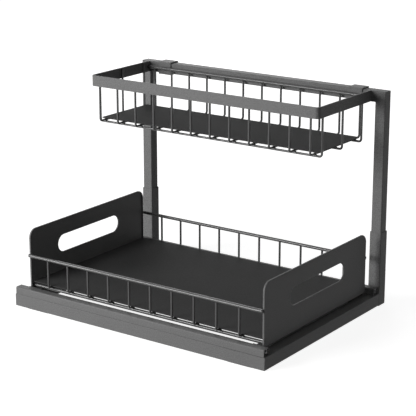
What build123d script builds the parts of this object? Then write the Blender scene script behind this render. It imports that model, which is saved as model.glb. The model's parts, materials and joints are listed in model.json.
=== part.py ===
"""Pull-out cabinet basket: a wire tray on two hidden ball slides, under a narrow basket on a post frame.

Millimetres. The origin is the middle of the base frame, on the shelf that it stands on. +Z is up, +X is
the way the tray pulls out, and the posts stand along the +Y side.
"""
import os
from math import pi

from build123d import *

os.makedirs("parts", exist_ok=True)

# ---------------------------------------------------------------- driving sizes
# base frame, a ring of small rectangular tube
frame_length = 430.0
frame_depth = 320.0
beam_top = 19.0
beam_width = 13.0
beam_wall = 1.2
beam_corner = 0.8
foot_height = 0.8
pad_length = 40.0
pad_margin = 1.5

# tabs inside the base that take the screws into the cabinet's shelf
tab_sheet = 1.6
tab_width = 22.0
tab_reach = 20.0
tab_upright = 12.0
tab_left_x = -150.0
tab_right_x = 60.0
fixing_hole_radius = 2.25
fixing_hole_inset = 12.0

# post sleeves and the telescoping upper frame
tube_size = 16.0
tube_wall = 1.2
tube_corner = 1.2
sleeve_wall = 1.0
sleeve_clearance = 0.2
sleeve_top = 110.0
crossrail_top = 315.0
post_insertion = 52.0
plug_head = 2.0
plug_depth = 10.0

# set screws in welded bosses at the back of the sleeves hold the posts at their height
clamp_height = 92.0
screw_radius = 2.5
screw_clearance = 0.05
screw_tip_gap = 0.1
screw_proud = 1.0
screw_socket_radius = 1.45
screw_socket_depth = 2.5
boss_radius = 5.0
boss_length = 4.0

# tray rails: an outer cover of bent sheet over a ball slide
cover_wall = 1.2
cover_corner = 2.0
cover_gap = 0.4
cover_height = 10.2
cover_inset = 1.5
sleeve_gap = 0.8
tray_travel = 300.0

# ball slide inside each cover
rail_half_width = 2.5
rail_wall = 1.0
rail_foot_reach = 1.5
rail_height = 7.0
rail_front_inset = 15.0
rail_rear_inset = 3.0
channel_wall = 1.2
channel_end_inset = 3.0
channel_lip = 0.7
channel_lip_height = 1.0
channel_foot_clearance = 0.4
ball_radius = 1.2
ball_clearance = 0.05
ball_pitch = 42.0
balls_per_row = 3
cage_sheet = 0.4
cage_gap = 0.4
cage_overhang = 8.0
cage_hole_clearance = 0.15
stop_length = 4.0
stop_ear_length = 3.0
stop_gap = 0.3

# tray end panels
panel_sheet = 1.2
panel_return = 3.2
panel_inset = 12.5
wire_rail_gap = 0.4
panel_bottom = 23.5
panel_top = 113.0
panel_corner = 13.0
panel_bend = 1.5
panel_ledge = 14.0
slot_length = 141.0
slot_height = 26.0
slot_centre_height = 74.7
slot_lip = 0.8
ear_length = 12.0
ear_top = 29.2
ear_inset = 2.5
rivet_radius = 1.2
rivet_head_radius = 2.1
rivet_head_height = 1.1
rivet_height = 27.0

# tray wires and mat
top_wire_radius = 2.5
top_wire_height = 75.0
cross_wire_radius = 1.6
cross_wire_bend = 4.0
wire_sides = 8
bend_steps = 3
tray_wire_count = 10
tray_wire_bottom = 31.1
top_wire_inset = 2.2
long_wire_radius = 2.5
long_wire_inset = 9.2
tray_long_wire_count = 4
mat_thickness = 1.2
mat_corner = 3.0
tray_mat_side_gap = 1.2
tray_mat_bend_gap = 0.4

# upper basket
basket_shift = -5.0
basket_margin = 19.5
basket_front = -0.2
rim_height = 16.0
rim_thickness = 2.0
rim_bend = 6.0
rim_wire_drop = 2.0
basket_wire_count = 12
basket_wire_margin = 14.0
basket_wire_bottom = 245.6
basket_wire_radius = 1.6
basket_wire_bend = 4.0
basket_long_wire_count = 3
basket_long_wire_margin = 17.0
back_wire_radius = 2.5
basket_mat_side_gap = 6.75
basket_mat_front_gap = 14.5

# hook brackets that hang the basket on the crossrail
hook_sheet = 1.8
hook_width = 23.0
hook_margin = 47.5
hook_shift = -1.5
hook_back_drop = 7.0
hook_under_reach = 9.0
hook_screw_radius = 1.75
hook_screw_clearance = 0.05
hook_screw_length = 5.0
hook_screw_head_radius = 3.6
hook_screw_head_height = 2.2
hook_screw_drop = 4.0

# ---------------------------------------------------------------- places worked out from the sizes
half_length = frame_length / 2
overall_depth = frame_depth + boss_length + screw_proud
front_y = -overall_depth / 2
back_y = front_y + frame_depth
sleeve_size = tube_size + 2 * (sleeve_clearance + sleeve_wall)
end_beam_width = sleeve_size
post_x = half_length - sleeve_size / 2
post_y = back_y - sleeve_size / 2
crossrail_front = post_y - tube_size / 2
crossrail_back = post_y + tube_size / 2
crossrail_bottom = crossrail_top - tube_size
post_bottom = sleeve_top - post_insertion

# the two rail lines: the front one is flush with the frame, the rear one clears the sleeves
rear_beam_back = back_y - sleeve_size - sleeve_gap
front_rail_y = front_y + beam_width / 2
rear_rail_y = rear_beam_back - beam_width / 2
tray_middle = (front_rail_y + rear_rail_y) / 2
cover_bottom = beam_top + cover_gap
cover_top = cover_bottom + cover_height
cover_half_width = beam_width / 2
cover_half_length = half_length - cover_inset
rail_places = {"front": front_rail_y, "rear": rear_rail_y}

# slide section, measured from the middle of a rail line
rail_top = beam_top + rail_height
channel_half_width = cover_half_width - cover_wall
channel_inner = channel_half_width - channel_wall
channel_top = cover_top - cover_wall
channel_bottom = beam_top + rail_wall + channel_foot_clearance
channel_rear_end = -cover_half_length + channel_end_inset
channel_front_end = cover_half_length - channel_end_inset
ball_offset = (rail_half_width + channel_inner) / 2
ball_height = beam_top + rail_height * 0.6
groove_radius = ball_radius + ball_clearance
rail_front_end = half_length - rail_front_inset
rail_rear_end = -half_length + rail_rear_inset
stop_ear_x = channel_rear_end + stop_length + tray_travel + stop_gap
stop_ear_height = channel_lip_height + channel_foot_clearance / 2
cage_half_length = (balls_per_row - 1) * ball_pitch / 2 + cage_overhang
cage_bottom = channel_bottom + channel_lip_height + cage_gap
cage_top = rail_top + cage_gap + cage_sheet

# tray panels and wires
panel_outer = half_length - panel_inset
panel_inner_face = panel_outer - panel_sheet
front_skirt_y = front_rail_y + cover_half_width
rear_skirt_y = rear_rail_y - cover_half_width
panel_front = front_skirt_y + 2 * top_wire_radius + wire_rail_gap
panel_rear = rear_skirt_y - 2 * top_wire_radius - wire_rail_gap
panel_length = panel_rear - panel_front
front_wire_y = panel_front - top_wire_radius
rear_wire_y = panel_rear + top_wire_radius
top_wire_end = panel_outer - top_wire_inset
tray_wire_axis = tray_wire_bottom + cross_wire_radius
tray_long_axis = tray_wire_bottom - long_wire_radius
tray_mat_bottom = tray_wire_bottom + 2 * cross_wire_radius
tray_wire_pitch = 2 * panel_inner_face / (tray_wire_count + 1)

# basket
rim_bottom = crossrail_top - rim_height
basket_length = frame_length - 2 * basket_margin
basket_left = basket_shift - basket_length / 2
basket_right = basket_shift + basket_length / 2
basket_middle = (basket_front + crossrail_front) / 2
back_wire_y = crossrail_front - hook_sheet - back_wire_radius
back_wire_height = crossrail_top - rim_height / 2
front_upright_y = basket_front + rim_thickness + basket_wire_radius
basket_wire_axis = basket_wire_bottom + basket_wire_radius
basket_long_axis = basket_wire_bottom - basket_wire_radius
basket_upright_x = basket_length / 2 - rim_thickness - basket_wire_radius
basket_mat_bottom = basket_wire_bottom + 2 * basket_wire_radius
basket_wire_pitch = (basket_length - 2 * basket_wire_margin) / (basket_wire_count - 1)
basket_depth = crossrail_front - basket_front
basket_long_wire_pitch = (basket_depth - 2 * basket_long_wire_margin) / (basket_long_wire_count - 1)
basket_mat_length = basket_length - 2 * basket_mat_side_gap
basket_mat_width = basket_depth - back_wire_radius - 2 * basket_mat_front_gap + hook_sheet
hook_spacing = frame_length - 2 * hook_margin


def save(piece, name):
    """Label a finished piece and write it under its name."""
    piece.part.label = name
    export_step(piece.part, f"parts/{name}.step")


def tube_section(width, height, wall, corner):
    """Draw a rectangular tube's wall, with rounded outer corners, in the open sketch."""
    RectangleRounded(width, height, corner)
    Rectangle(width - 2 * wall, height - 2 * wall, mode=Mode.SUBTRACT)


def wire_sections(route, across, left_height, span, right_height, bend):
    """Give the planes of a U-shaped wire's sections: one at each end and a few round each bend."""
    arc = pi / 2 * bend
    first_bend = left_height - bend
    second_bend = first_bend + arc + span - 2 * bend
    length = second_bend + arc + right_height - bend
    round_bends = [start + arc * step / bend_steps for start in (first_bend, second_bend)
                   for step in range(bend_steps + 1)]
    places = [place / length for place in (0, *round_bends, length)]
    return [Plane(origin=route @ place, x_dir=across, z_dir=route % place) for place in places]


# ---------------------------------------------------------------- base frame
beam_height = beam_top - foot_height
beam_middle = (beam_top + foot_height) / 2

with BuildPart() as front_beam:
    with BuildSketch(Plane.YZ.offset(-half_length)) as front_beam_section:
        with Locations((front_rail_y, beam_middle)):
            tube_section(beam_width, beam_height, beam_wall, beam_corner)
    extrude(amount=frame_length)
    for side in (-1, 1):
        front_corner = (side * half_length, front_y, 0)
        corner_cut = Plane(origin=front_corner, z_dir=(-side * beam_width, -end_beam_width, 0))
        split(bisect_by=corner_cut, keep=Keep.TOP)
save(front_beam, "front_beam")

with BuildPart() as rear_beam:
    with BuildSketch(Plane.YZ.offset(-half_length + end_beam_width)) as rear_beam_section:
        with Locations((rear_rail_y, beam_middle)):
            tube_section(beam_width, beam_height, beam_wall, beam_corner)
    extrude(amount=frame_length - 2 * end_beam_width)
save(rear_beam, "rear_beam")

for name, side in (("left", -1), ("right", 1)):
    with BuildPart() as end_beam:
        with BuildSketch(Plane.XZ.offset(-front_y)) as end_beam_section:
            with Locations((side * (half_length - end_beam_width / 2), beam_middle)):
                tube_section(end_beam_width, beam_height, beam_wall, beam_corner)
        extrude(amount=-(frame_depth - sleeve_size))
        front_corner = (side * half_length, front_y, 0)
        corner_cut = Plane(origin=front_corner, z_dir=(side * beam_width, end_beam_width, 0))
        split(bisect_by=corner_cut, keep=Keep.TOP)
    save(end_beam, f"end_beam_{name}")

# ---------------------------------------------------------------- post sleeves, their feet and clamps
for name, side in (("left", -1), ("right", 1)):
    with BuildPart() as sleeve:
        with BuildSketch(Plane.XY.offset(foot_height)) as sleeve_section:
            with Locations((side * post_x, post_y)):
                tube_section(sleeve_size, sleeve_size, sleeve_wall, tube_corner)
        extrude(amount=sleeve_top - foot_height)
        with BuildSketch(Plane.XZ.offset(-back_y)) as clamp_hole:
            with Locations((side * post_x, clamp_height)):
                Circle(screw_radius + screw_clearance)
        extrude(amount=sleeve_wall, mode=Mode.SUBTRACT)
    save(sleeve, f"post_sleeve_{name}")

    with BuildPart() as sleeve_foot:
        with BuildSketch(Plane.XY) as foot_flange:
            with Locations((side * post_x, post_y)):
                RectangleRounded(sleeve_size, sleeve_size, tube_corner)
        extrude(amount=foot_height)
        with BuildSketch(Plane.XY.offset(foot_height)) as foot_spigot:
            with Locations((side * post_x, post_y)):
                Rectangle(tube_size, tube_size)
                Rectangle(tube_size - 2 * tube_wall, tube_size - 2 * tube_wall, mode=Mode.SUBTRACT)
        extrude(amount=plug_depth / 2)
    save(sleeve_foot, f"sleeve_foot_{name}")

    with BuildPart() as clamp_boss:
        with BuildSketch(Plane.XZ.offset(-back_y)) as boss_section:
            with Locations((side * post_x, clamp_height)):
                Circle(boss_radius)
                Circle(screw_radius + screw_clearance, mode=Mode.SUBTRACT)
        extrude(amount=-boss_length)
    save(clamp_boss, f"clamp_boss_{name}")

    screw_tip = post_y + tube_size / 2 + screw_tip_gap
    screw_end = back_y + boss_length + screw_proud
    with BuildPart() as clamp_screw:
        with BuildSketch(Plane.XZ.offset(-screw_tip)) as shank_section:
            with Locations((side * post_x, clamp_height)):
                Circle(screw_radius)
        extrude(amount=-(screw_end - screw_tip))
        chamfer(clamp_screw.edges().filter_by(GeomType.CIRCLE), length=0.4)
        with BuildSketch(Plane.XZ.offset(-screw_end)) as key_socket:
            with Locations((side * post_x, clamp_height)):
                RegularPolygon(screw_socket_radius, 6)
        extrude(amount=screw_socket_depth, mode=Mode.SUBTRACT)
    save(clamp_screw, f"clamp_screw_{name}")

with BuildPart() as front_pads:
    with BuildSketch(Plane.XY) as pad_outline:
        with Locations(*[(side * (half_length - pad_length), front_rail_y) for side in (-1, 1)]):
            RectangleRounded(pad_length, beam_width - 2 * pad_margin, 2)
    extrude(amount=foot_height)
save(front_pads, "front_pads")

with BuildPart() as fixing_tabs:
    for beam_face, inward in ((front_rail_y + beam_width / 2, 1), (rear_rail_y - beam_width / 2, -1)):
        tab_spots = [(x, beam_face + inward * tab_reach / 2) for x in (tab_left_x, tab_right_x)]
        hole_spots = [(x, beam_face + inward * fixing_hole_inset) for x in (tab_left_x, tab_right_x)]
        upright_spots = [(x, beam_face + inward * tab_sheet / 2) for x in (tab_left_x, tab_right_x)]
        with BuildSketch(Plane.XY) as tab_feet:
            with Locations(*tab_spots):
                Rectangle(tab_width, tab_reach)
            with Locations(*hole_spots):
                Circle(fixing_hole_radius, mode=Mode.SUBTRACT)
        extrude(amount=tab_sheet)
        with BuildSketch(Plane.XY) as tab_uprights:
            with Locations(*upright_spots):
                Rectangle(tab_width, tab_sheet)
        extrude(amount=tab_upright)
save(fixing_tabs, "fixing_tabs")

# ---------------------------------------------------------------- ball slides: fixed rails, cages, channels
for name, line_y in rail_places.items():
    with BuildPart() as fixed_rail:
        with BuildSketch(Plane.YZ.offset(rail_rear_end)) as rail_section:
            with Locations((line_y, beam_top + rail_height / 2)):
                Rectangle(2 * rail_half_width, rail_height)
            with Locations((line_y, beam_top + rail_wall / 2)):
                Rectangle(2 * (rail_half_width + rail_foot_reach), rail_wall)
            with Locations((line_y, beam_top + (rail_height - rail_wall) / 2)):
                Rectangle(2 * (rail_half_width - rail_wall), rail_height - rail_wall, mode=Mode.SUBTRACT)
            with Locations((line_y - ball_offset, ball_height), (line_y + ball_offset, ball_height)):
                Circle(groove_radius, mode=Mode.SUBTRACT)
        extrude(amount=rail_front_end - rail_rear_end)
        # the closed stop: the rail's rear end is bent up across the channel's mouth
        with BuildSketch(Plane.YZ.offset(rail_rear_end)) as closed_stop:
            with Locations((line_y, (beam_top + channel_top) / 2)):
                Rectangle(2 * channel_inner, channel_top - beam_top - 2 * cage_gap)
        extrude(amount=rail_wall)
        # the open stop: two ears that the channel's narrowed lips run up against
        with BuildSketch(Plane.YZ.offset(stop_ear_x)) as open_stop:
            with Locations((line_y, beam_top + rail_wall + stop_ear_height / 2)):
                Rectangle(2 * (channel_inner - channel_lip) - channel_foot_clearance, stop_ear_height)
                Rectangle(2 * rail_half_width - rail_wall, stop_ear_height, mode=Mode.SUBTRACT)
        extrude(amount=stop_ear_length)
    save(fixed_rail, f"fixed_rail_{name}")

    with BuildPart() as slide_channel:
        with BuildSketch(Plane.YZ.offset(channel_rear_end)) as channel_section:
            with Locations((line_y, (channel_top + channel_bottom) / 2)):
                Rectangle(2 * channel_half_width, channel_top - channel_bottom)
            with Locations((line_y, (channel_top - channel_wall + channel_bottom + channel_lip_height) / 2)):
                hollow_height = channel_top - channel_wall - channel_bottom - channel_lip_height
                Rectangle(2 * channel_inner, hollow_height, mode=Mode.SUBTRACT)
            with Locations((line_y, channel_bottom + channel_lip_height / 2)):
                Rectangle(2 * (channel_inner - channel_lip), channel_lip_height, mode=Mode.SUBTRACT)
            with Locations((line_y - ball_offset, ball_height), (line_y + ball_offset, ball_height)):
                Circle(groove_radius, mode=Mode.SUBTRACT)
        extrude(amount=channel_front_end - channel_rear_end)
        with BuildSketch(Plane.YZ.offset(channel_rear_end)) as narrowed_lips:
            with Locations((line_y, channel_bottom + channel_lip_height / 2)):
                Rectangle(2 * (channel_inner - channel_lip), channel_lip_height)
                Rectangle(2 * rail_half_width + channel_foot_clearance, channel_lip_height, mode=Mode.SUBTRACT)
        extrude(amount=stop_length)
    save(slide_channel, f"slide_channel_{name}")

    ball_columns = [(index - (balls_per_row - 1) / 2) * ball_pitch for index in range(balls_per_row)]
    with BuildPart() as ball_cage:
        with BuildSketch(Plane.YZ.offset(-cage_half_length)) as cage_section:
            with Locations((line_y, (cage_top + cage_bottom) / 2)):
                Rectangle(2 * ball_offset + cage_sheet, cage_top - cage_bottom)
            with Locations((line_y, (cage_top - cage_sheet + cage_bottom) / 2)):
                inside_height = cage_top - cage_sheet - cage_bottom
                Rectangle(2 * ball_offset - cage_sheet, inside_height, mode=Mode.SUBTRACT)
        extrude(amount=2 * cage_half_length)
        with BuildSketch(Plane.XZ.offset(-line_y - channel_half_width)) as ball_holes:
            with Locations(*[(x, ball_height) for x in ball_columns]):
                Circle(ball_radius + cage_hole_clearance)
        extrude(amount=2 * channel_half_width, mode=Mode.SUBTRACT)
    save(ball_cage, f"ball_cage_{name}")

    with BuildPart() as slide_balls:
        ball_spots = [(x, line_y + side * ball_offset, ball_height) for x in ball_columns for side in (-1, 1)]
        with Locations(*ball_spots):
            Sphere(ball_radius)
    save(slide_balls, f"slide_balls_{name}")

# ---------------------------------------------------------------- tray rail covers
ear_x = panel_outer - ear_inset - ear_length / 2
for name, line_y in rail_places.items():
    inward = 1 if line_y < tray_middle else -1
    with BuildPart() as rail_cover:
        with BuildSketch(Plane.YZ.offset(-cover_half_length)) as cover_section:
            with Locations((line_y, (cover_top + cover_bottom) / 2)):
                Rectangle(beam_width, cover_height)
            fillet(cover_section.vertices().group_by(Axis.Y)[-1], radius=cover_corner)
            with Locations((line_y, (channel_top + cover_bottom) / 2)):
                Rectangle(2 * channel_half_width, channel_top - cover_bottom, mode=Mode.SUBTRACT)
        extrude(amount=2 * cover_half_length)
        with BuildSketch(Plane.XZ.offset(-line_y)) as rivet_holes:
            with Locations((-ear_x, rivet_height), (ear_x, rivet_height)):
                Circle(rivet_radius)
        extrude(amount=-inward * cover_half_width, mode=Mode.SUBTRACT)
    save(rail_cover, f"tray_rail_{name}")

# ---------------------------------------------------------------- tray end panels
for name, side in (("left", -1), ("right", 1)):
    outer_plane = Plane.YZ.offset(side * panel_outer)
    inward = -side
    with BuildPart() as end_panel:
        # a pan of bent sheet: a face with a narrow return all round its edge
        with BuildSketch(outer_plane) as panel_outline:
            with Locations((tray_middle, (panel_top + panel_bottom) / 2)):
                Rectangle(panel_length, panel_top - panel_bottom)
            fillet(panel_outline.vertices().group_by(Axis.Y)[-1], radius=panel_corner)
        extrude(amount=inward * panel_return)
        outer_face = end_panel.faces().sort_by(Axis.X)[-1 if side > 0 else 0]
        fillet(outer_face.outer_wire().edges(), radius=panel_bend)
        inner_face = end_panel.faces().sort_by(Axis.X)[0 if side > 0 else -1]
        offset(amount=-panel_sheet, openings=inner_face)
        # the hand slot, with a lip turned inwards round it
        with BuildSketch(outer_plane.offset(inward * panel_sheet)) as slot_lip_ring:
            with Locations((tray_middle, slot_centre_height)):
                SlotOverall(slot_length + 2 * panel_sheet, slot_height + 2 * panel_sheet)
        extrude(amount=inward * slot_lip)
        with BuildSketch(outer_plane) as slot_opening:
            with Locations((tray_middle, slot_centre_height)):
                SlotOverall(slot_length, slot_height)
        extrude(amount=inward * (panel_sheet + slot_lip), mode=Mode.SUBTRACT)
        slot_edge = end_panel.edges().filter_by(
            lambda edge: abs(edge.center().X - side * panel_outer) < 0.01
            and abs(edge.center().Z - slot_centre_height) < slot_height
        )
        chamfer(slot_edge, length=panel_sheet / 2)
        # the ledge along the bottom, with an ear at each end that turns up against a rail cover
        with BuildSketch(Plane.XY.offset(panel_bottom)) as ledge_outline:
            with Locations((side * (panel_outer - panel_bend - panel_ledge / 2), tray_middle)):
                Rectangle(panel_ledge, panel_length - 2 * panel_bend)
            with Locations((side * ear_x, (front_skirt_y + rear_skirt_y) / 2)):
                Rectangle(ear_length, rear_skirt_y - front_skirt_y)
        extrude(amount=panel_sheet)
        with BuildSketch(Plane.XY.offset(panel_bottom)) as ear_section:
            ear_spots = (front_skirt_y + panel_sheet / 2, rear_skirt_y - panel_sheet / 2)
            with Locations(*[(side * ear_x, y) for y in ear_spots]):
                Rectangle(ear_length, panel_sheet)
        extrude(amount=ear_top - panel_bottom)
        with BuildSketch(Plane.XZ.offset(-front_skirt_y)) as ear_holes:
            with Locations((side * ear_x, rivet_height)):
                Circle(rivet_radius)
        extrude(amount=-(rear_skirt_y - front_skirt_y), mode=Mode.SUBTRACT)
    save(end_panel, f"tray_panel_{name}")

with BuildPart() as tray_rivets:
    for skirt_y, inward in ((front_skirt_y, 1), (rear_skirt_y, -1)):
        shank_start = skirt_y - inward * cover_wall
        head_start = skirt_y + inward * panel_sheet
        with BuildSketch(Plane.XZ.offset(-shank_start)) as shanks:
            with Locations((-ear_x, rivet_height), (ear_x, rivet_height)):
                Circle(rivet_radius)
        extrude(amount=-inward * (cover_wall + panel_sheet))
        with BuildSketch(Plane.XZ.offset(-head_start)) as heads:
            with Locations((-ear_x, rivet_height), (ear_x, rivet_height)):
                Circle(rivet_head_radius)
        extrude(amount=-inward * rivet_head_height, taper=25)
save(tray_rivets, "tray_rivets")

# ---------------------------------------------------------------- tray wires and mat
for name, wire_y in (("front", front_wire_y), ("rear", rear_wire_y)):
    with BuildPart() as top_wire:
        with BuildSketch(Plane.YZ.offset(-top_wire_end)) as top_wire_section:
            with Locations((wire_y, top_wire_height)):
                Circle(top_wire_radius)
        extrude(amount=2 * top_wire_end)
    save(top_wire, f"tray_top_wire_{name}")

with BuildPart() as tray_cross_wires:
    wire_end = top_wire_height - top_wire_radius
    for index in range(tray_wire_count):
        wire_x = (index - (tray_wire_count - 1) / 2) * tray_wire_pitch
        with BuildLine(Plane.YZ.offset(wire_x)) as wire_route:
            FilletPolyline(
                (front_wire_y, wire_end),
                (front_wire_y, tray_wire_axis),
                (rear_wire_y, tray_wire_axis),
                (rear_wire_y, wire_end),
                radius=cross_wire_bend,
            )
        upright = wire_end - tray_wire_axis
        span = rear_wire_y - front_wire_y
        places = wire_sections(wire_route.line, (1, 0, 0), upright, span, upright, cross_wire_bend)
        with BuildSketch(*places) as tray_wire_sections:
            RegularPolygon(cross_wire_radius, wire_sides, major_radius=False, rotation=180 / wire_sides)
        loft(ruled=True)
save(tray_cross_wires, "tray_cross_wires")

with BuildPart() as tray_long_wires:
    first_long_wire = front_wire_y + long_wire_inset
    last_long_wire = rear_wire_y - long_wire_inset
    long_wire_step = (last_long_wire - first_long_wire) / (tray_long_wire_count - 1)
    with BuildSketch(Plane.YZ.offset(-panel_inner_face)) as long_wire_sections:
        wire_spots = [first_long_wire + index * long_wire_step for index in range(tray_long_wire_count)]
        with Locations(*[(y, tray_long_axis) for y in wire_spots]):
            Circle(long_wire_radius)
    extrude(amount=2 * panel_inner_face)
save(tray_long_wires, "tray_long_wires")

with BuildPart() as tray_mat:
    tray_mat_length = 2 * (panel_outer - panel_return - tray_mat_side_gap)
    mat_edge_inset = cross_wire_bend + tray_mat_bend_gap
    tray_mat_width = rear_wire_y - front_wire_y - 2 * mat_edge_inset
    with BuildSketch(Plane.XY.offset(tray_mat_bottom)) as tray_mat_outline:
        with Locations((0, tray_middle)):
            RectangleRounded(tray_mat_length, tray_mat_width, mat_corner)
    extrude(amount=mat_thickness)
save(tray_mat, "tray_mat")

# ---------------------------------------------------------------- upper frame: two posts and a crossrail
tube_outer = post_x + tube_size / 2
for name, side in (("left", -1), ("right", 1)):
    with BuildPart() as upper_post:
        with BuildSketch(Plane.XY.offset(post_bottom)) as post_section:
            with Locations((side * post_x, post_y)):
                tube_section(tube_size, tube_size, tube_wall, tube_corner)
        extrude(amount=crossrail_top - post_bottom)
        mitre_cut = Plane(origin=(side * tube_outer, 0, crossrail_top), z_dir=(side, 0, -1))
        split(bisect_by=mitre_cut, keep=Keep.TOP)
    save(upper_post, f"upper_post_{name}")

    with BuildPart() as post_plug:
        with BuildSketch(Plane.XY.offset(post_bottom - plug_head)) as plug_head_section:
            with Locations((side * post_x, post_y)):
                RectangleRounded(tube_size, tube_size, tube_corner)
        extrude(amount=plug_head)
        with BuildSketch(Plane.XY.offset(post_bottom)) as plug_spigot:
            with Locations((side * post_x, post_y)):
                Rectangle(tube_size - 2 * tube_wall, tube_size - 2 * tube_wall)
        extrude(amount=plug_depth)
    save(post_plug, f"post_plug_{name}")

hook_places = (hook_shift - hook_spacing / 2, hook_shift + hook_spacing / 2)
hook_screw_height = crossrail_top - hook_screw_drop
with BuildPart() as crossrail:
    with BuildSketch(Plane.YZ.offset(-tube_outer)) as crossrail_section:
        with Locations((post_y, crossrail_top - tube_size / 2)):
            tube_section(tube_size, tube_size, tube_wall, tube_corner)
    extrude(amount=2 * tube_outer)
    for side in (-1, 1):
        mitre_cut = Plane(origin=(side * tube_outer, 0, crossrail_top), z_dir=(-side, 0, 1))
        split(bisect_by=mitre_cut, keep=Keep.TOP)
    with BuildSketch(Plane.XZ.offset(-crossrail_back)) as hook_screw_holes:
        with Locations(*[(x, hook_screw_height) for x in hook_places]):
            Circle(hook_screw_radius + hook_screw_clearance)
    extrude(amount=tube_wall, mode=Mode.SUBTRACT)
save(crossrail, "crossrail")

# ---------------------------------------------------------------- hook brackets
for name, hook_x in zip(("left", "right"), hook_places):
    with BuildPart() as hook_bracket:
        with BuildSketch(Plane.YZ.offset(hook_x - hook_width / 2)) as hook_section:
            hook_front = crossrail_front - hook_sheet
            hook_top = crossrail_top + hook_sheet
            hook_bottom = crossrail_bottom - hook_sheet
            hook_back = crossrail_back + hook_sheet
            with BuildLine() as hook_outline:
                Polyline(
                    (hook_back, crossrail_top - hook_back_drop),
                    (hook_back, hook_top),
                    (hook_front, hook_top),
                    (hook_front, hook_bottom),
                    (hook_front + hook_under_reach, hook_bottom),
                    (hook_front + hook_under_reach, crossrail_bottom),
                    (crossrail_front, crossrail_bottom),
                    (crossrail_front, crossrail_top),
                    (crossrail_back, crossrail_top),
                    (crossrail_back, crossrail_top - hook_back_drop),
                    close=True,
                )
            make_face()
        extrude(amount=hook_width)
        outer_bends = hook_bracket.edges().filter_by(Axis.X).filter_by(
            lambda edge: edge.center().Z > crossrail_top + hook_sheet / 2
            or (edge.center().Z < crossrail_bottom - hook_sheet / 2 and edge.center().Y < crossrail_front)
        )
        fillet(outer_bends, radius=hook_sheet / 2)
        with BuildSketch(Plane.XZ.offset(-hook_back)) as lip_hole:
            with Locations((hook_x, hook_screw_height)):
                Circle(hook_screw_radius + hook_screw_clearance)
        extrude(amount=hook_sheet, mode=Mode.SUBTRACT)
    save(hook_bracket, f"hook_bracket_{name}")

with BuildPart() as hook_screws:
    screw_seat = crossrail_back + hook_sheet
    with BuildSketch(Plane.XZ.offset(-(screw_seat - hook_screw_length))) as hook_shanks:
        with Locations(*[(x, hook_screw_height) for x in hook_places]):
            Circle(hook_screw_radius)
    extrude(amount=-hook_screw_length)
    with BuildSketch(Plane.XZ.offset(-screw_seat)) as hook_heads:
        with Locations(*[(x, hook_screw_height) for x in hook_places]):
            Circle(hook_screw_head_radius)
    extrude(amount=-hook_screw_head_height, taper=20)
save(hook_screws, "hook_screws")

# ---------------------------------------------------------------- upper basket
with BuildPart() as basket_rim:
    with BuildSketch(Plane.XY.offset(rim_bottom)) as rim_outline:
        with Locations((basket_shift, basket_middle)):
            Rectangle(basket_length, crossrail_front - basket_front)
        fillet(rim_outline.vertices().group_by(Axis.Y)[0], radius=rim_bend)
        with BuildSketch(mode=Mode.SUBTRACT) as rim_inside:
            with Locations((basket_shift, basket_middle + rim_thickness)):
                inside_depth = crossrail_front - basket_front
                Rectangle(basket_length - 2 * rim_thickness, inside_depth)
            fillet(rim_inside.vertices().group_by(Axis.Y)[0], radius=rim_bend - rim_thickness)
    extrude(amount=rim_height)
save(basket_rim, "basket_rim")

with BuildPart() as basket_back_wire:
    with BuildSketch(Plane.YZ.offset(basket_left + rim_thickness)) as back_wire_section:
        with Locations((back_wire_y, back_wire_height)):
            Circle(back_wire_radius)
    extrude(amount=basket_length - 2 * rim_thickness)
save(basket_back_wire, "basket_back_wire")

with BuildPart() as basket_cross_wires:
    for index in range(basket_wire_count):
        wire_x = basket_shift + (index - (basket_wire_count - 1) / 2) * basket_wire_pitch
        with BuildLine(Plane.YZ.offset(wire_x)) as basket_route:
            FilletPolyline(
                (front_upright_y, crossrail_top - rim_wire_drop),
                (front_upright_y, basket_wire_axis),
                (back_wire_y, basket_wire_axis),
                (back_wire_y, back_wire_height - back_wire_radius),
                radius=basket_wire_bend,
            )
        front_upright = crossrail_top - rim_wire_drop - basket_wire_axis
        back_upright = back_wire_height - back_wire_radius - basket_wire_axis
        span = back_wire_y - front_upright_y
        places = wire_sections(
            basket_route.line, (1, 0, 0), front_upright, span, back_upright, basket_wire_bend
        )
        with BuildSketch(*places) as basket_wire_sections:
            RegularPolygon(basket_wire_radius, wire_sides, major_radius=False, rotation=180 / wire_sides)
        loft(ruled=True)
save(basket_cross_wires, "basket_cross_wires")

with BuildPart() as basket_long_wires:
    for index in range(basket_long_wire_count):
        wire_y = basket_middle + (index - (basket_long_wire_count - 1) / 2) * basket_long_wire_pitch
        with BuildLine(Plane.XZ.offset(-wire_y)) as long_route:
            FilletPolyline(
                (basket_shift - basket_upright_x, crossrail_top - rim_wire_drop),
                (basket_shift - basket_upright_x, basket_long_axis),
                (basket_shift + basket_upright_x, basket_long_axis),
                (basket_shift + basket_upright_x, crossrail_top - rim_wire_drop),
                radius=basket_wire_bend,
            )
        upright = crossrail_top - rim_wire_drop - basket_long_axis
        places = wire_sections(
            long_route.line, (0, 1, 0), upright, 2 * basket_upright_x, upright, basket_wire_bend
        )
        with BuildSketch(*places) as long_wire_sections:
            RegularPolygon(basket_wire_radius, wire_sides, major_radius=False, rotation=180 / wire_sides)
        loft(ruled=True)
save(basket_long_wires, "basket_long_wires")

with BuildPart() as basket_mat:
    with BuildSketch(Plane.XY.offset(basket_mat_bottom)) as basket_mat_outline:
        with Locations((basket_shift, basket_middle)):
            RectangleRounded(basket_mat_length, basket_mat_width, mat_corner)
    extrude(amount=mat_thickness)
save(basket_mat, "basket_mat")
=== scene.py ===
# %% [markdown]
# # A pull-out cabinet basket
# This file dresses the imported model of a two-level organiser: a wire tray between two sheet panels that
# slides on hidden ball slides, and a narrow basket on a post frame above it. The imported model gives every
# place, so the first step loads it.

# %% Load the imported model
import json
import math

import bmesh
import bpy
from mathutils import Matrix, Vector


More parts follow.
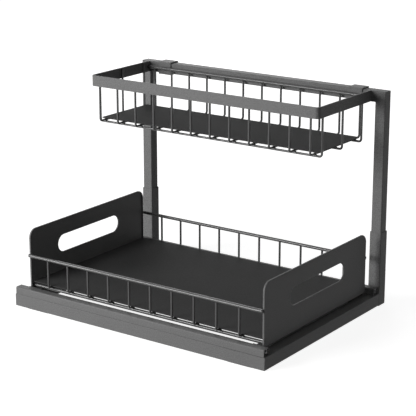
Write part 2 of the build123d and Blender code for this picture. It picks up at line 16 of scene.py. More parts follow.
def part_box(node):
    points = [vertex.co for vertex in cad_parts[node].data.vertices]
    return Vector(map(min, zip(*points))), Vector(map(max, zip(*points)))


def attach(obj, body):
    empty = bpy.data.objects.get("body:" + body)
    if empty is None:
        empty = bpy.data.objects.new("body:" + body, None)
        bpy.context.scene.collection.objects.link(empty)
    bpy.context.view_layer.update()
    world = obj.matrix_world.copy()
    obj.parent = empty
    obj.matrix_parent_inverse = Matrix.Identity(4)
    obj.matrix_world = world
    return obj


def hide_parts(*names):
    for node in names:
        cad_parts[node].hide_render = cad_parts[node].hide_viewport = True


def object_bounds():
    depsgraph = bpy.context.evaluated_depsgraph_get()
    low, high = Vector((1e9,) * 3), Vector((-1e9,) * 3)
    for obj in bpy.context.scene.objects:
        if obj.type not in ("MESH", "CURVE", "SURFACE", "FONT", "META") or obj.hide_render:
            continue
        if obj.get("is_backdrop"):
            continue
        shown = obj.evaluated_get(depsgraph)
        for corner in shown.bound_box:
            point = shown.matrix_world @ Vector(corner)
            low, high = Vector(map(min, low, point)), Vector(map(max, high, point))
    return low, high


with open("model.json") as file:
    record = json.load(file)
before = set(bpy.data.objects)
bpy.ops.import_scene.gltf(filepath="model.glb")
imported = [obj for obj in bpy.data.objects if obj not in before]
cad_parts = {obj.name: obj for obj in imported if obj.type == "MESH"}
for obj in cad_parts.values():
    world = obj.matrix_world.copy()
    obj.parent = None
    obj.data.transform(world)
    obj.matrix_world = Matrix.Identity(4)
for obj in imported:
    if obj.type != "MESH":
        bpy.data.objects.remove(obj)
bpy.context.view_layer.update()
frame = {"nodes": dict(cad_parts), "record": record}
scene = bpy.context.scene
mm = 0.001
body_of_node = {
    node: body
    for body, nodes in frame["record"]["behaviour"]["bodies"].items()
    for node in nodes
}
slot_of_node = {part["node"]: part["material_slot"] for part in frame["record"]["subparts"]}
print("bodies:", sorted(set(body_of_node.values())), "nodes:", len(body_of_node))


# %% A helper that puts a mesh, a line or a lamp in the scene
def put_in_scene(name, data):
    """Make an object at the origin for some data and link it to the scene."""
    thing = bpy.data.objects.new(name, data)
    scene.collection.objects.link(thing)
    return thing


print("objects go into:", scene.collection.name)

# %% [markdown]
# ## Powder coat
# The steel is powder coated in one graphite grey. Seen close, the coat is a skin of tiny soft bumps with
# paler specks, and its sheen is a little uneven. A photograph of this grain could be wrapped round the
# parts, but noise read from Object coordinates needs no picture and keeps one scale on every piece. Tubes,
# wires and mats all need such a grain, so it is one node group, placed in each material with its own values.


# %% Helpers for node trees
def add_socket(tree, name, kind, direction, value=None):
    """Give a node group one more named input or output."""
    socket = tree.interface.new_socket(name=name, in_out=direction, socket_type=kind)
    if value is not None:
        socket.default_value = value
    return socket


def noise(tree, vector, scale, detail):
    """A noise texture on a vector, at a fixed or a linked scale."""
    texture = tree.nodes.new("ShaderNodeTexNoise")
    texture.inputs["Detail"].default_value = detail
    tree.links.new(vector, texture.inputs["Vector"])
    if isinstance(scale, float):
        texture.inputs["Scale"].default_value = scale
    else:
        tree.links.new(scale, texture.inputs["Scale"])
    return texture.outputs["Fac"]


def swing(tree, value, amount, around):
    """Around a middle value, swing up and down with a noise by an amount."""
    centred = tree.nodes.new("ShaderNodeMath")
    centred.operation = "SUBTRACT"
    centred.inputs[1].default_value = 0.5
    tree.links.new(value, centred.inputs[0])
    swung = tree.nodes.new("ShaderNodeMath")
    swung.operation = "MULTIPLY_ADD"
    tree.links.new(centred.outputs[0], swung.inputs[0])
    tree.links.new(amount, swung.inputs[1])
    if isinstance(around, float):
        swung.inputs[2].default_value = around
    else:
        tree.links.new(around, swung.inputs[2])
    return swung.outputs[0]


# %% The coat's grain as a shader group
def build_coat_grain():
    """Fine bumps and specks, slow changes of sheen and colour, for any coated surface."""
    tree = bpy.data.node_groups.new("coat grain", "ShaderNodeTree")
    add_socket(tree, "Colour", "NodeSocketColor", "INPUT", (0.1, 0.1, 0.1, 1))
    for name, value in (
        ("Grain size", 900.0), ("Grain height", 0.1), ("Speckle", 0.5), ("Roughness", 0.4),
        ("Sheen drift", 0.06), ("Colour drift", 0.12),
    ):
        add_socket(tree, name, "NodeSocketFloat", "INPUT", value)
    add_socket(tree, "Colour", "NodeSocketColor", "OUTPUT")
    add_socket(tree, "Roughness", "NodeSocketFloat", "OUTPUT")
    add_socket(tree, "Normal", "NodeSocketVector", "OUTPUT")
    inputs, outputs = tree.nodes.new("NodeGroupInput"), tree.nodes.new("NodeGroupOutput")
    given, made, link = inputs.outputs, outputs.inputs, tree.links.new
    place = tree.nodes.new("ShaderNodeTexCoord").outputs["Object"]

    fine = noise(tree, place, given["Grain size"], 2.0)
    slow = noise(tree, place, 26.0, 3.0)
    bump = tree.nodes.new("ShaderNodeBump")
    bump.inputs["Distance"].default_value = 0.0002
    link(given["Grain height"], bump.inputs["Strength"])
    link(fine, bump.inputs["Height"])
    link(bump.outputs["Normal"], made["Normal"])
    link(swing(tree, slow, given["Sheen drift"], given["Roughness"]), made["Roughness"])

    tone = swing(tree, fine, given["Speckle"], swing(tree, slow, given["Colour drift"], 1.0))
    tint = tree.nodes.new("ShaderNodeVectorMath")
    tint.operation = "SCALE"
    link(given["Colour"], tint.inputs[0])
    link(tone, tint.inputs["Scale"])
    link(tint.outputs["Vector"], made["Colour"])
    return tree


coat_grain = build_coat_grain()
print("coat grain group:", len(coat_grain.nodes), "nodes")


# %% Finishes that use the grain
def coated(name, colour, roughness, metallic=0.0, specular=0.5, **grain):
    """Make one material whose colour, sheen and bumps come from the coat grain group."""
    material = bpy.data.materials.new(name)
    material.use_nodes = True
    material.diffuse_color = (*colour, 1)
    nodes, link = material.node_tree.nodes, material.node_tree.links.new
    surface = nodes["Principled BSDF"]
    group = nodes.new("ShaderNodeGroup")
    group.node_tree = coat_grain
    group.inputs["Colour"].default_value = (*colour, 1)
    group.inputs["Roughness"].default_value = roughness
    for socket, value in grain.items():
        group.inputs[socket.replace("_", " ").capitalize()].default_value = value
    link(group.outputs["Colour"], surface.inputs["Base Color"])
    link(group.outputs["Roughness"], surface.inputs["Roughness"])
    link(group.outputs["Normal"], surface.inputs["Normal"])
    surface.inputs["Metallic"].default_value = metallic
    surface.inputs["Specular IOR Level"].default_value = specular
    return material


graphite = (0.150, 0.150, 0.150)
dark_wire = (0.080, 0.080, 0.080)
mat_black = (0.056, 0.056, 0.056)
zinc = (0.60, 0.60, 0.61)
bright = (0.72, 0.72, 0.73)
nylon_black = (0.02, 0.02, 0.02)
finishes = {
    "graphite_coat": coated(
        "graphite coat", graphite, 0.50, specular=0.12, grain_size=800.0, speckle=1.4
    ),
    "wire_coat": coated(
        "wire coat", dark_wire, 0.20, specular=0.35, grain_size=900.0, grain_height=0.05, speckle=0.3
    ),
    "mat_rubber": coated(
        "mat", mat_black, 0.80, specular=0.08, grain_size=600.0, grain_height=0.3
    ),
    "zinc_steel": coated(
        "zinc plated steel", zinc, 0.34, metallic=1.0, grain_size=260.0, speckle=0.3
    ),
    "bright_steel": coated(
        "bright steel", bright, 0.2, metallic=1.0, grain_size=300.0, grain_height=0.02
    ),
    "black_nylon": coated("black nylon", nylon_black, 0.55, grain_size=500.0),
}
print("finishes:", ", ".join(finishes))

# %% [markdown]
# ## Soft edges on tubes and sheet
# Cut tube and bent sheet never end in a knife edge: each edge is rounded by a few tenths of a millimetre,
# and that thin line is what catches the light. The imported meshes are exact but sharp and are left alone,
# so each piece is a copy with its loose triangles merged and its flat faces made whole. A Bevel modifier
# then rounds only the edges that turn by more than 30 degrees, and weighted normals keep the flats flat.


# %% Handing a finished mesh over
def hand_over(piece, *nodes):
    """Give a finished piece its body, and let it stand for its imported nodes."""
    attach(piece, body_of_node[nodes[0]])
    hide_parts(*nodes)
    return piece


def plain_mesh(source, name):
    """Turn an object with live modifiers into a plain mesh object and remove the object."""
    evaluated = source.evaluated_get(bpy.context.evaluated_depsgraph_get())
    mesh = bpy.data.meshes.new_from_object(evaluated)
    mesh.name = name
    old_data = source.data
    bpy.data.objects.remove(source)
    if isinstance(old_data, bpy.types.Mesh):
        bpy.data.meshes.remove(old_data)
    return put_in_scene(name, mesh)


def mesh_of(form, name):
    """Write a bmesh into a new mesh and free it."""
    mesh = bpy.data.meshes.new(name)
    form.to_mesh(mesh)
    form.free()
    return mesh


def round_off(form, name, finish, edge, segments=2):
    """Make a bmesh an object with rounded edges whose flat faces stay flat."""
    for face in form.faces:
        face.smooth = True
    mesh = mesh_of(form, name)
    mesh.materials.append(finishes[finish])
    rough = put_in_scene(f"{name}_rough", mesh)
    bevel = rough.modifiers.new("soft edges", "BEVEL")
    bevel.width = edge
    bevel.segments = segments
    bevel.limit_method = "ANGLE"
    bevel.angle_limit = math.radians(30)
    bevel.use_clamp_overlap = False
    rough.modifiers.new("flat faces stay flat", "WEIGHTED_NORMAL")
    return plain_mesh(rough, name)


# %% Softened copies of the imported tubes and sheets
def soften(node, edge):
    """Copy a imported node, merge it, round its sharp edges and let the copy stand for it."""
    form = bmesh.new()
    form.from_mesh(frame["nodes"][node].data)
    bmesh.ops.remove_doubles(form, verts=form.verts, dist=0.001 * mm)
    flat_enough = math.radians(0.4)
    bmesh.ops.dissolve_limit(form, angle_limit=flat_enough, verts=form.verts, edges=form.edges)
    return hand_over(round_off(form, f"{node}_soft", slot_of_node[node], edge), node)


def sides(name, ends=("left", "right")):
    """The two nodes that a name stands for, one at each side."""
    return [f"{name}_{end}" for end in ends]


fore_and_aft = ("front", "rear")
tubes = ["front_beam", "rear_beam", "crossrail", "basket_rim"]
for name in ("end_beam", "post_sleeve", "upper_post", "hook_bracket"):
    tubes += sides(name)
panels = sides("tray_panel")
fittings = ["front_pads", "fixing_tabs"]
for name in ("tray_rail", "slide_channel", "fixed_rail", "ball_cage"):
    fittings += sides(name, fore_and_aft)
for name in ("sleeve_foot", "post_plug", "clamp_boss", "clamp_screw"):
    fittings += sides(name)
for group, edge in ((tubes, 0.25 * mm), (panels, 0.30 * mm), (fittings, 0.12 * mm)):
    for node in group:
        soften(node, edge)
    print("softened", len(group), "pieces by", round(edge / mm, 2), "mm")

# %% [markdown]
# ## Bent wires
# A basket's side is one wire shape repeated: a straight wire bent up at both ends. Modelling each one by
# hand would be slow to change, so Geometry Nodes does it. The object holds one U-shaped line. The tree
# rounds its corners, sweeps a circle along it, and repeats it along a row of points. Its sizes are named
# inputs, and it ends with Realize Instances and Set Material so that the export gets real faces.


# %% A node tree that bends, sweeps and repeats a wire
def build_wire_row():
    """One line in, a row of round bent wires out."""
    tree = bpy.data.node_groups.new("wire row", "GeometryNodeTree")
    add_socket(tree, "Line", "NodeSocketGeometry", "INPUT")
    add_socket(tree, "Wire radius", "NodeSocketFloat", "INPUT", 1.6 * mm)
    add_socket(tree, "Bend radius", "NodeSocketFloat", "INPUT", 6 * mm)
    add_socket(tree, "Count", "NodeSocketInt", "INPUT", 1)
    add_socket(tree, "Step", "NodeSocketVector", "INPUT", (0, 0, 0))
    add_socket(tree, "Finish", "NodeSocketMaterial", "INPUT")
    add_socket(tree, "Wires", "NodeSocketGeometry", "OUTPUT")
    nodes, link = tree.nodes, tree.links.new
    inputs, outputs = nodes.new("NodeGroupInput"), nodes.new("NodeGroupOutput")

    bend = nodes.new("GeometryNodeFilletCurve")
    if "Mode" in bend.inputs:
        bend.inputs["Mode"].default_value = "Poly"
    else:
        bend.mode = "POLY"
    bend.inputs["Count"].default_value = 7
    link(inputs.outputs["Line"], bend.inputs["Curve"])
    link(inputs.outputs["Bend radius"], bend.inputs["Radius"])

    section = nodes.new("GeometryNodeCurvePrimitiveCircle")
    section.inputs["Resolution"].default_value = 20
    link(inputs.outputs["Wire radius"], section.inputs["Radius"])
    sweep = nodes.new("GeometryNodeCurveToMesh")
    sweep.inputs["Fill Caps"].default_value = True
    link(bend.outputs["Curve"], sweep.inputs["Curve"])
    link(section.outputs["Curve"], sweep.inputs["Profile Curve"])

    row = nodes.new("GeometryNodeMeshLine")
    link(inputs.outputs["Count"], row.inputs["Count"])
    link(inputs.outputs["Step"], row.inputs["Offset"])
    repeat = nodes.new("GeometryNodeInstanceOnPoints")
    link(row.outputs["Mesh"], repeat.inputs["Points"])
    link(sweep.outputs["Mesh"], repeat.inputs["Instance"])
    real = nodes.new("GeometryNodeRealizeInstances")
    link(repeat.outputs["Instances"], real.inputs["Geometry"])
    coat = nodes.new("GeometryNodeSetMaterial")
    link(real.outputs["Geometry"], coat.inputs["Geometry"])
    link(inputs.outputs["Finish"], coat.inputs["Material"])
    link(coat.outputs["Geometry"], outputs.inputs["Wires"])
    return tree


def set_inputs(modifier, **values):
    """Set a Geometry Nodes modifier's inputs through their sockets' identifiers."""
    for item in modifier.node_group.interface.items_tree:
        if item.item_type == "SOCKET" and item.in_out == "INPUT":
            key = item.name.lower().replace(" ", "_")
            if key in values:
                modifier[item.identifier] = values[key]


wire_row = build_wire_row()
print("wire row tree:", len(wire_row.nodes), "nodes")


# %% A row of wires along a corner line
def wires(name, corners, radius, bend=4 * mm, count=1, step=(0, 0, 0)):
    """Sweep a round wire along the corner points and repeat it."""
    line = bpy.data.curves.new(name, "CURVE")
    line.dimensions = "3D"
    run = line.splines.new("POLY")
    run.points.add(len(corners) - 1)
    for point, corner in zip(run.points, corners):
        point.co = (*corner, 1)
    holder = put_in_scene(f"{name}_line", line)
    modifier = holder.modifiers.new("wire row", "NODES")
    modifier.node_group = wire_row
    set_inputs(
        modifier,
        wire_radius=radius,
        bend_radius=bend,
        count=count,
        step=step,
        finish=finishes["wire_coat"],
    )
    piece = plain_mesh(holder, name)
    piece.data.shade_smooth()
    piece.data.set_sharp_from_angle(angle=math.radians(40))
    return piece


def straight_wire(node):
    """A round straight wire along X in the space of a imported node; gives its middle and radius."""
    low, high = (Vector(corner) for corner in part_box(node))
    middle, radius = (low + high) / 2, (high.z - low.z) / 2
    ends = [(low.x, middle.y, middle.z), (high.x, middle.y, middle.z)]
    hand_over(wires(f"{node}_round", ends, radius), node)
    return middle, radius


# %% [markdown]
# ## Tray wires
# Two thick top wires run along the tray in front of and behind its panels. Ten thinner wires hang under
# them as a floor, and four long wires cross below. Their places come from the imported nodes' boxes, so
# they stay with the frame when it changes.

# %% Tray top wires, floor wires and long wires
wire_radius = 1.6 * mm
for node in sides("tray_top_wire", fore_and_aft):
    straight_wire(node)

low, high = (Vector(corner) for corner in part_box("tray_cross_wires"))
front, rear = low.y + wire_radius, high.y - wire_radius
bottom = low.z + wire_radius
first, last = low.x + wire_radius, high.x - wire_radius
tray_wire_count = 10
tray_step = (last - first) / (tray_wire_count - 1)
tray_floor = wires(
    "tray_cross_wires_round",
    [(first, front, high.z), (first, front, bottom), (first, rear, bottom), (first, rear, high.z)],
    wire_radius,
    count=tray_wire_count,
    step=(tray_step, 0, 0),
)
hand_over(tray_floor, "tray_cross_wires")

low, high = (Vector(corner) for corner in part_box("tray_long_wires"))
long_radius = (high.z - low.z) / 2
long_count = 4
long_step = (high.y - low.y - 2 * long_radius) / (long_count - 1)
start, bottom = low.y + long_radius, low.z + long_radius
long_wires = wires(
    "tray_long_wires_round",
    [(low.x, start, bottom), (high.x, start, bottom)],
    long_radius,
    count=long_count,
    step=(0, long_step, 0),
)
hand_over(long_wires, "tray_long_wires")
print("tray floor wires", tray_wire_count, "at", round(tray_step / mm, 2), "mm")
print("tray long wires", long_count, "at", round(long_step / mm, 2), "mm")

# %% [markdown]
# ## Upper basket wires
# The basket is made the same way: twelve wires run from the rim at the front, under the mat and up to a
# round wire at the back, and three long ones cross below them and climb to the rim at each end.

# %% Basket wires
back, back_radius = straight_wire("basket_back_wire")

low, high = (Vector(corner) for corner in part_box("basket_cross_wires"))
front, rear = low.y + wire_radius, back.y
bottom = low.z + wire_radius
first, last = low.x + wire_radius, high.x - wire_radius
basket_wire_count = 12
basket_step = (last - first) / (basket_wire_count - 1)
under_back_wire = back.z - back_radius
basket_floor = wires(
    "basket_cross_wires_round",
    [(first, front, high.z), (first, front, bottom), (first, rear, bottom), (first, rear, under_back_wire)],
    wire_radius,
    count=basket_wire_count,
    step=(basket_step, 0, 0),
)
hand_over(basket_floor, "basket_cross_wires")

low, high = (Vector(corner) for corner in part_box("basket_long_wires"))
left, right = low.x + wire_radius, high.x - wire_radius
bottom = low.z + wire_radius
basket_long_count = 3
basket_long_step = (high.y - low.y - 2 * wire_radius) / (basket_long_count - 1)
start = low.y + wire_radius
basket_long = wires(
    "basket_long_wires_round",
    [(left, start, high.z), (left, start, bottom), (right, start, bottom), (right, start, high.z)],
    wire_radius,
    count=basket_long_count,
    step=(0, basket_long_step, 0),
)
hand_over(basket_long, "basket_long_wires")
print("basket wires", basket_wire_count, "at", round(basket_step / mm, 2), "mm")

# %% [markdown]
# ## Weld beads
# Wherever two wires cross they are pressed together and welded, and a little metal is squeezed out round the
# crossing. It shows as a flat bead in the four corners. The beads stand on a regular grid, so a second
# Geometry Nodes tree puts one small flattened ball on each grid point.


# %% A node tree that sets a bead on every crossing
def build_bead_grid():
    """A grid of small flattened balls, one for each crossing of two rows of wires."""
    tree = bpy.data.node_groups.new("bead grid", "GeometryNodeTree")
    add_socket(tree, "Middle", "NodeSocketVector", "INPUT", (0, 0, 0))
    for name in ("Length", "Width"):
        add_socket(tree, name, "NodeSocketFloat", "INPUT", 0.1)
    for name in ("Along", "Across"):
        add_socket(tree, name, "NodeSocketInt", "INPUT", 2)
    add_socket(tree, "Bead radius", "NodeSocketFloat", "INPUT", 2.4 * mm)
    add_socket(tree, "Flatness", "NodeSocketVector", "INPUT", (1.0, 1.0, 0.3))
    add_socket(tree, "Finish", "NodeSocketMaterial", "INPUT")
    add_socket(tree, "Beads", "NodeSocketGeometry", "OUTPUT")
    nodes, link = tree.nodes, tree.links.new
    inputs, outputs = nodes.new("NodeGroupInput"), nodes.new("NodeGroupOutput")

    grid = nodes.new("GeometryNodeMeshGrid")
    for name, socket in (("Length", "Size X"), ("Width", "Size Y")):
        link(inputs.outputs[name], grid.inputs[socket])
    for name, socket in (("Along", "Vertices X"), ("Across", "Vertices Y")):
        link(inputs.outputs[name], grid.inputs[socket])
    placed = nodes.new("GeometryNodeTransform")
    link(grid.outputs["Mesh"], placed.inputs["Geometry"])
    link(inputs.outputs["Middle"], placed.inputs["Translation"])
    ball = nodes.new("GeometryNodeMeshIcoSphere")
    ball.inputs["Subdivisions"].default_value = 2
    link(inputs.outputs["Bead radius"], ball.inputs["Radius"])
    repeat = nodes.new("GeometryNodeInstanceOnPoints")
    link(placed.outputs["Geometry"], repeat.inputs["Points"])
    link(ball.outputs["Mesh"], repeat.inputs["Instance"])
    link(inputs.outputs["Flatness"], repeat.inputs["Scale"])
    real = nodes.new("GeometryNodeRealizeInstances")
    link(repeat.outputs["Instances"], real.inputs["Geometry"])
    coat = nodes.new("GeometryNodeSetMaterial")
    link(real.outputs["Geometry"], coat.inputs["Geometry"])
    link(inputs.outputs["Finish"], coat.inputs["Material"])
    link(coat.outputs["Geometry"], outputs.inputs["Beads"])
    return tree


bead_grid = build_bead_grid()
print("bead grid tree:", len(bead_grid.nodes), "nodes")


# %% Beads under the tray and under the basket
def beads(name, cross_node, long_node, row_radius, along, across):
    """Weld every crossing of a packed row of cross wires with the long wires below them."""
    cross_low, cross_high = (Vector(corner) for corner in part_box(cross_node))
    long_low, long_high = (Vector(corner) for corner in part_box(long_node))
    middle_x, middle_y = (cross_low.x + cross_high.x) / 2, (long_low.y + long_high.y) / 2
    holder = put_in_scene(f"{name}_points", bpy.data.meshes.new(f"{name}_points"))
    modifier = holder.modifiers.new("bead grid", "NODES")
    modifier.node_group = bead_grid
    set_inputs(
        modifier,
        middle=(middle_x, middle_y, cross_low.z),
        length=cross_high.x - cross_low.x - 2 * wire_radius,
        width=long_high.y - long_low.y - 2 * row_radius,
        along=along,
        across=across,
        finish=finishes["wire_coat"],
    )
    piece = plain_mesh(holder, name)
    piece.data.shade_smooth()
    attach(piece, body_of_node[cross_node])
    print(name, len(piece.data.polygons), "faces")


for place, row_radius, along, across in (
    ("tray", long_radius, tray_wire_count, long_count),
    ("basket", wire_radius, basket_wire_count, basket_long_count),
):
    nodes = f"{place}_cross_wires", f"{place}_long_wires"
    beads(f"{place}_weld_beads", *nodes, row_radius, along, across)

# %% [markdown]
# ## Mats
# A thin dark sheet lies on each wire floor. It has rounded corners and a softly rolled edge, and it is
# the one dull surface here: fine grain and high roughness let it swallow the light that the steel throws
# back. A rounded outline is drawn point by point, filled, given its thickness and then bevelled.


# %% The two mats
def mat(node, corner=3 * mm, edge=0.35 * mm):
    """A rounded sheet with soft edges in the space of a packed mat."""
    low, high = (Vector(point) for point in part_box(node))
    form = bmesh.new()
    steps = 6
    rim = []
    for quarter, (x, y) in enumerate(
        ((high.x - corner, high.y - corner), (low.x + corner, high.y - corner),
         (low.x + corner, low.y + corner), (high.x - corner, low.y + corner))
    ):
        for step in range(steps + 1):
            angle = math.pi / 2 * (quarter + step / steps)
            across, along = corner * math.cos(angle), corner * math.sin(angle)
            rim.append(form.verts.new((x + across, y + along, low.z)))
    face = form.faces.new(rim)
    raised = bmesh.ops.extrude_face_region(form, geom=[face])
    lifted = [part for part in raised["geom"] if isinstance(part, bmesh.types.BMVert)]
    bmesh.ops.translate(form, verts=lifted, vec=(0, 0, high.z - low.z))
    bmesh.ops.recalc_face_normals(form, faces=form.faces)
    return hand_over(round_off(form, f"{node}_sheet", "mat_rubber", edge, segments=3), node)


for node in ("tray_mat", "basket_mat"):
    mat(node)
print("mats laid")

# %% [markdown]
# ## Hook screws
# Each hook bracket is held from behind by a pan-head screw. A screw is turned on a lathe, so its half outline
# is spun round the axis here too, and two Boolean modifiers then press a cross recess into the head. The two
# screws stop at different angles, as they do on anything put together by hand.


# %% A form turned on a lathe
def turned(name, outline, steps=32):
    """Spin a half outline of (radius, along) points round the Y axis into a closed object."""
    form = bmesh.new()
    rings = []
    for radius, along in outline:
        ring = []
        for side in range(steps if radius > 0 else 1):
            angle = 2 * math.pi * side / steps
            ring.append(form.verts.new((radius * math.cos(angle), along, radius * math.sin(angle))))
        rings.append(ring)
    for one, other in zip(rings, rings[1:]):
        for side in range(steps):
            after = (side + 1) % steps
            corners = [one[side % len(one)], one[after % len(one)]]
            corners += [other[after % len(other)], other[side % len(other)]]
            form.faces.new(list(dict.fromkeys(corners)))
    bmesh.ops.recalc_face_normals(form, faces=form.faces)
    return put_in_scene(name, mesh_of(form, name))


# %% One slot of a cross recess
def recess_slot(name, top, angle, length=4.4 * mm, width=0.95 * mm, depth=1.3 * mm):
    """A tapered bar that cuts a slot into a head whose top lies at a given height along Y."""
    form = bmesh.new()
    bmesh.ops.create_cube(form, size=1)
    for corner in form.verts:
        taper = 1.0 if corner.co.y > 0 else 0.45
        above = depth / 2 if corner.co.y > 0 else -depth
        corner.co = Vector((corner.co.x * length * taper, top + above, corner.co.z * width * taper))
    bmesh.ops.rotate(form, verts=form.verts, matrix=Matrix.Rotation(angle, 3, "Y"))
    return put_in_scene(name, mesh_of(form, name))


# %% The two screws
low, high = (Vector(corner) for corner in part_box("hook_screws"))
head_radius, head_height = (high.z - low.z) / 2, 2.2 * mm
shank_radius, shank_length = 1.75 * mm, high.y - low.y - head_height
pan_head = [
    (0, -shank_length), (shank_radius, -shank_length), (shank_radius, 0), (head_radius, 0),
    (head_radius, 0.40 * head_height), (0.93 * head_radius, 0.66 * head_height),
    (0.74 * head_radius, 0.88 * head_height), (0.40 * head_radius, head_height), (0, head_height),
]
both_screws = bmesh.new()
for side, x, angle in (("left", low.x + head_radius, 0.3), ("right", high.x - head_radius, 1.2)):
    screw = turned(f"hook_screw_{side}", pan_head)
    bars = []
    for quarter in range(2):
        bar = recess_slot(f"recess_{side}_{quarter}", head_height, angle + quarter * math.pi / 2)
        cut = screw.modifiers.new("recess", "BOOLEAN")
        cut.operation = "DIFFERENCE"
        cut.object = bar
        bars.append(bar)
    screw = plain_mesh(screw, f"hook_screw_{side}_cut")
    screw.data.transform(Matrix.Translation((x, high.y - head_height, (low.z + high.z) / 2)))
    both_screws.from_mesh(screw.data)
    for used in (screw, *bars):
        used_mesh = used.data
        bpy.data.objects.remove(used)
        bpy.data.meshes.remove(used_mesh)
screws_mesh = mesh_of(both_screws, "hook_screws_turned")
screws_mesh.materials.append(finishes["bright_steel"])
screws_mesh.shade_smooth()
screws_mesh.set_sharp_from_angle(angle=math.radians(35))
hand_over(put_in_scene("hook_screws_turned", screws_mesh), "hook_screws")
print("hook screws", len(screws_mesh.polygons), "faces")

# %% [markdown]
# ## Rivets and balls
# The slides' balls and the rivets are CAD solids with the right shape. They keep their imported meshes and
# only get their finish.

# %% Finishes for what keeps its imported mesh
for node, holder in frame["nodes"].items():
    for index in range(max(1, len(holder.data.materials))):
        if index < len(holder.data.materials):
            holder.data.materials[index] = finishes[slot_of_node[node]]
        else:
            holder.data.materials.append(finishes[slot_of_node[node]])
print("kept meshes have their finish")

# %% [markdown]
# ## Stage, light and camera
# The object stands on a white floor in a white room. Light Path tells a material which ray is asking: the
# camera, reflections and glass see a white floor that keeps only a soft shadow near the object, while the
# light that bounces off it is that of a grey floor, so that the faces turned away from the lamp stay dark. In
# a narrow strip under the tray's right end the floor has no white glow at all: painted shade, grey even where
# light falls.
# The room is white to the same rays and lights the object gently. A large soft lamp at the front left makes
# the front faces bright, a weak one at the right opens up the shadows between the panels, and one behind
# shows the back in other views.


# %% Which rays see the white stage
def combine(tree, operation, first, second=None):
    """Join one or two values with a Math node."""
    joint = tree.nodes.new("ShaderNodeMath")
    joint.operation = operation
    tree.links.new(first, joint.inputs[0])
    if second is not None:
        tree.links.new(second, joint.inputs[1])
    return joint.outputs[0]


def ramp(tree, value, start, end, low, high):
    """A value that goes from low to high as another goes from start to end."""
    slope = tree.nodes.new("ShaderNodeMapRange")
    tree.links.new(value, slope.inputs["Value"])
    for socket, number in (("From Min", start), ("From Max", end), ("To Min", low), ("To Max", high)):
        slope.inputs[socket].default_value = number
    return slope.outputs["Result"]


def seen_rays(tree):
    """One for camera, glossy and transmission rays, zero for the light that falls on things."""
    ray = tree.nodes.new("ShaderNodeLightPath")
    mirror = combine(tree, "MAXIMUM", ray.outputs["Is Glossy Ray"], ray.outputs["Is Transmission Ray"])
    return combine(tree, "MAXIMUM", ray.outputs["Is Camera Ray"], mirror)


# %% The floor
floor_mesh = bpy.data.meshes.new("floor")
reach = 6.0
corners = [(-reach, -reach, 0), (reach, -reach, 0), (reach, reach, 0), (-reach, reach, 0)]
floor_mesh.from_pydata(corners, [], [(0, 1, 2, 3)])
floor = put_in_scene("floor", floor_mesh)
floor_paint = bpy.data.materials.new("white floor")
floor_paint.use_nodes = True
tree = floor_paint.node_tree
tree.nodes.clear()
seen = seen_rays(tree)
place = tree.nodes.new("ShaderNodeTexCoord")
distance = tree.nodes.new("ShaderNodeVectorMath")
distance.operation = "LENGTH"
tree.links.new(place.outputs["Object"], distance.inputs[0])
shadow_full_to, shadow_gone_at, shadow_strength = 0.25, 0.60, 0.11
near = ramp(tree, distance.outputs["Value"], shadow_full_to, shadow_gone_at, shadow_strength, 0.0)
axes = tree.nodes.new("ShaderNodeSeparateXYZ")
tree.links.new(place.outputs["Object"], axes.inputs["Vector"])
# The strip under the tray's right end loses the floor's white glow: painted shade, darker than the floor
# round it under any light.
gap_start, gap_end, gap_half_depth = (0.150, 0.162), (0.200, 0.206), (0.140, 0.160)
past = ramp(tree, axes.outputs["X"], *gap_start, 0.0, 1.0)
short = ramp(tree, axes.outputs["X"], *gap_end, 1.0, 0.0)
across = ramp(tree, combine(tree, "ABSOLUTE", axes.outputs["Y"]), *gap_half_depth, 1.0, 0.0)
painted_shade_strip = combine(tree, "MULTIPLY", combine(tree, "MULTIPLY", past, short), across)
shadow_and_painted_shade = combine(tree, "MAXIMUM", near, painted_shade_strip)

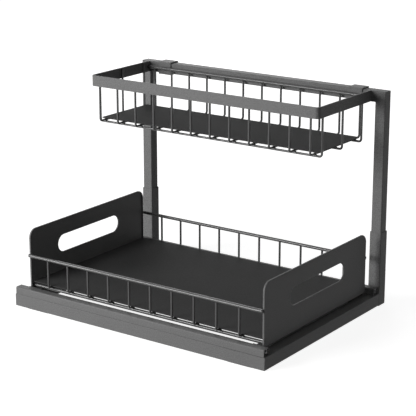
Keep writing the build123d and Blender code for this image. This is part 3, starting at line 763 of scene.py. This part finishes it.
own_white = ramp(tree, shadow_and_painted_shade, 0.0, 1.0, 1.0, 0.0)
glow = tree.nodes.new("ShaderNodeEmission")
tree.links.new(combine(tree, "MULTIPLY", own_white, seen), glow.inputs["Strength"])
paint = tree.nodes.new("ShaderNodeBsdfDiffuse")
grey_for_light, pale_when_seen = 0.12, 0.50
paint_value = ramp(tree, seen, 0.0, 1.0, grey_for_light, pale_when_seen)
tree.links.new(paint_value, paint.inputs["Color"])
both = tree.nodes.new("ShaderNodeAddShader")
tree.links.new(glow.outputs["Emission"], both.inputs[0])
tree.links.new(paint.outputs["BSDF"], both.inputs[1])
floor_out = tree.nodes.new("ShaderNodeOutputMaterial")
tree.links.new(both.outputs["Shader"], floor_out.inputs["Surface"])
floor_mesh.materials.append(floor_paint)
floor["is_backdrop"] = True
print("floor laid,", round(2 * reach), "m wide")

# %% The room
world = bpy.data.worlds.new("white room")
world.use_nodes = True
scene.world = world
room = world.node_tree
room.nodes.clear()
backdrop = room.nodes.new("ShaderNodeBackground")
backdrop.inputs["Color"].default_value = (1, 1, 1, 1)
dim_for_light, white_when_seen = 0.05, 1.0
room_strength = ramp(room, seen_rays(room), 0.0, 1.0, dim_for_light, white_when_seen)
room.links.new(room_strength, backdrop.inputs["Strength"])
room_out = room.nodes.new("ShaderNodeOutputWorld")
room.links.new(backdrop.outputs["Background"], room_out.inputs["Surface"])
print("room lit")


# %% Lamps
def soft_lamp(name, place, aim, size, watts):
    """A square area lamp that looks at a point."""
    data = bpy.data.lights.new(name, "AREA")
    data.shape = "SQUARE"
    data.size = size
    data.energy = watts
    lamp = put_in_scene(name, data)
    lamp.location = place
    lamp.rotation_euler = (Vector(aim) - Vector(place)).to_track_quat("-Z", "Y").to_euler()
    print(name, watts, "W")


soft_lamp("key lamp", (-1.25, -2.1, 0.66), (0, 0, 0.14), 1.5, 82)
soft_lamp("side lamp", (2.2, -0.7, 0.75), (0, 0, 0.14), 1.4, 3.2)
soft_lamp("back lamp", (-1.5, 1.9, 0.8), (0, 0, 0.1), 1.2, 10)

# %% Camera at the photograph's angle
turn, tilt = math.radians(35.318), math.radians(16.241)
camera_data = bpy.data.cameras.new("camera")
camera_data.lens = 126.34
camera_data.sensor_width = 36.0
camera_data.clip_end = 20.0
camera = put_in_scene("camera", camera_data)
camera.location = (1.16385, -1.6273, 0.72774)
camera.rotation_euler = (math.pi / 2 - tilt, 0, turn)
scene.camera = camera
scene.view_settings.view_transform = "Standard"
print("camera", tuple(round(value, 3) for value in camera.location))

# %% The size of the visual box
low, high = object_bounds()
print("visual box", [round(v / mm, 1) for v in (*low, *high)])
